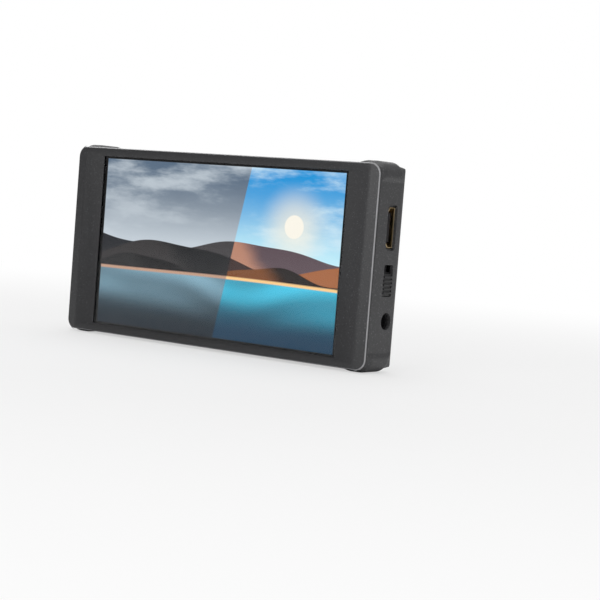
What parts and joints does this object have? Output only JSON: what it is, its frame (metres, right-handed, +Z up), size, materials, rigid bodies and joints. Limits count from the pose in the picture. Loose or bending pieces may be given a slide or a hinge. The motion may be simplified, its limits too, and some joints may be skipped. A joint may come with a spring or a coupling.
{
  "type": "camera field monitor",
  "caption": "Pocket camera field monitor with a glossy 5.2 inch screen, corner bumpers, brushed trim strips, ports on both sides and a battery bay with a release on its back.",
  "frame": {"origin": "under the middle of the body, on the plane that the bumpers stand on", "axes": "+X to the right seen from the front, +Y from the screen to the back, +Z up"},
  "size_m": [0.1464, 0.02, 0.075],
  "materials": {
    "frame_plastic": "fine moulded texture",
    "housing_plastic": "fine moulded texture with a faint sparkle",
    "black_plastic": "smooth satin",
    "switch_plastic": "satin",
    "cover_glass": "polished",
    "screen": "lit picture",
    "light_sheet": "translucent white",
    "trim_aluminium": "brushed along its length",
    "sheet_steel": "plain sheet",
    "contact_metal": "plated",
    "socket_gold": "gold plated",
    "socket_pale": "moulded",
    "circuit_board": "solder mask",
    "chip_black": "moulded",
    "heat_pad": "soft",
    "flat_cable": "film",
    "wire_red": "insulation",
    "label_black": "printed film",
    "insert_brass": "turned"
  },
  "bodies": {
    "root": {"front_frame": "frame_plastic", "cover_glass": "cover_glass", "lcd_panel": "screen", "diffuser_sheet": "light_sheet", "light_guide": "light_sheet", "reflector_sheet": "light_sheet", "led_strip": "socket_pale", "backlight_tray": "sheet_steel", "mid_frame": "sheet_steel", "main_board": "circuit_board", "input_board": "circuit_board", "main_chip": "chip_black", "heat_pad": "heat_pad", "heat_spreader": "trim_aluminium", "shield_can": "sheet_steel", "small_chips": "chip_black", "board_connectors": "socket_pale", "display_flex": "flat_cable", "board_flex": "flat_cable", "battery_leads": "wire_red", "rear_housing": "housing_plastic", "top_trim_strip": "trim_aluminium", "bottom_trim_strip": "trim_aluminium", "battery_plate": "black_plastic", "contact_block": "black_plastic", "contact_blades": "contact_metal", "spec_label": "label_black", "serial_label": "label_black", "release_spring": "contact_metal", "function_switch_body": "chip_black", "usb_shell": "socket_gold", "usb_insert": "socket_pale", "headphone_jack": "black_plastic", "headphone_ring": "socket_gold", "hdmi_out_shell": "socket_gold", "hdmi_out_insert": "black_plastic", "hdmi_in_shell": "socket_gold", "hdmi_in_insert": "black_plastic", "power_switch_body": "chip_black", "dc_jack": "black_plastic", "dc_pin": "contact_metal", "tripod_insert": "insert_brass", "case_screws": "sheet_steel", "frame_screws": "sheet_steel", "board_screws": "sheet_steel", "plate_screws": "sheet_steel"},
    "power": {"power_slider": "switch_plastic"},
    "function": {"function_slider": "switch_plastic"},
    "release": {"release_slider": "switch_plastic", "battery_latch": "switch_plastic", "slider_retainer": "sheet_steel", "slider_screw": "sheet_steel"}
  },
  "joints": [
    {"name": "power_slide", "type": "slide", "parent": "root", "child": "power", "axis": [0, 0, 1], "range_m": [0, 0.003]},
    {"name": "function_slide", "type": "slide", "parent": "root", "child": "function", "axis": [0, 0, 1], "range_m": [0, 0.003]},
    {"name": "release_slide", "type": "slide", "parent": "root", "child": "release", "axis": [1, 0, 0], "range_m": [0, 0.0026], "stiffness_N_per_m": 300, "springref_m": -0.001, "deforming": ["release_spring"]}
  ]
}
